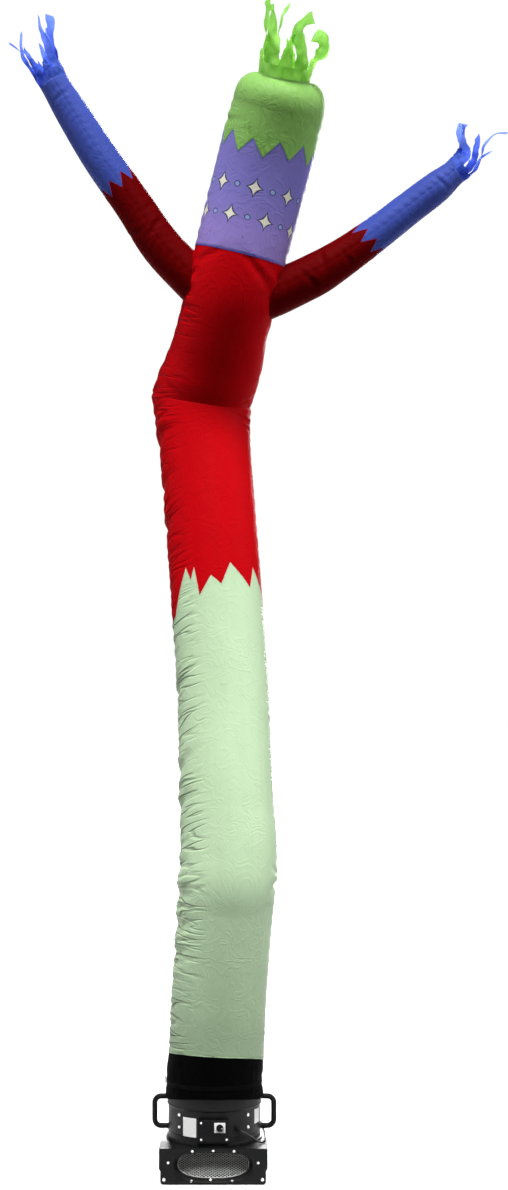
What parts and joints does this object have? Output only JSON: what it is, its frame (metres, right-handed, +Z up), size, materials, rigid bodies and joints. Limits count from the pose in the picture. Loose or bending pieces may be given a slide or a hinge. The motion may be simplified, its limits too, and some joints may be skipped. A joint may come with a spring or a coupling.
{
  "type": "inflatable air dancer on its blower",
  "caption": "Tall bent fabric tube figure with raised arms and ribbon fringes, strapped over the round duct of a square floor blower.",
  "frame": {"origin": "centre of the blower's flat underside, on the ground", "axes": "+Z up, -Y towards the front of the blower with its intake, +X to the right as seen from the front"},
  "size_m": [2.4226, 0.9848, 5.5361],
  "materials": {
    "black_nylon": "matt coated nylon",
    "black_webbing": "woven webbing",
    "buckle_steel": "dull plated steel",
    "pale_green_nylon": "coated nylon, soft sheen",
    "red_nylon": "coated nylon, soft sheen",
    "lavender_nylon": "coated nylon, soft sheen",
    "lime_nylon": "coated nylon, soft sheen",
    "blue_ribbon": "thin nylon, slightly sheer",
    "black_paint": "fine textured powder coat",
    "grey_wire": "zinc plated wire",
    "black_plastic": "moulded, fine grain",
    "white_plastic": "smooth moulded",
    "bright_zinc": "bright zinc plate",
    "bare_label": "satin, bare",
    "black_cord": "matt rubber sheath"
  },
  "bodies": {
    "dancer_and_blower": {"base_sleeve": "black_nylon", "cinch_strap": "black_webbing", "strap_buckle": "buckle_steel", "trouser_panel": "pale_green_nylon", "shirt_panel": "red_nylon", "left_sleeve": "red_nylon", "right_sleeve": "red_nylon", "left_forearm": "lavender_nylon", "right_forearm": "lavender_nylon", "head_panel": "lavender_nylon", "crown_panel": "lime_nylon", "hair_fringe": "lime_nylon", "left_cuff_fringe": "blue_ribbon", "right_cuff_fringe": "blue_ribbon", "blower_box": "black_paint", "intake_duct": "black_paint", "intake_grille": "grey_wire", "fan_drum": "black_paint", "left_handle": "black_plastic", "right_handle": "black_plastic", "drum_bolt_left_low": "bright_zinc", "drum_bolt_left_high": "bright_zinc", "drum_bolt_right_low": "bright_zinc", "drum_bolt_right_high": "bright_zinc", "foot_bolt_left": "bright_zinc", "foot_bolt_right": "bright_zinc", "rating_plate": "bare_label", "side_plate": "bare_label", "control_box": "black_plastic", "switch_plate": "white_plastic", "cord_gland": "black_plastic", "cord_lead": "black_cord", "cord_coil": "black_cord", "power_plug": "black_plastic"},
    "knob": {"switch_knob": "black_plastic"}
  },
  "joints": [
    {"name": "knob_turn", "type": "hinge", "parent": "dancer_and_blower", "child": "knob", "pos_m": [0.03, -0.2416, 0.257], "axis": [0, -1, 0], "range_deg": [0, 90]}
  ]
}
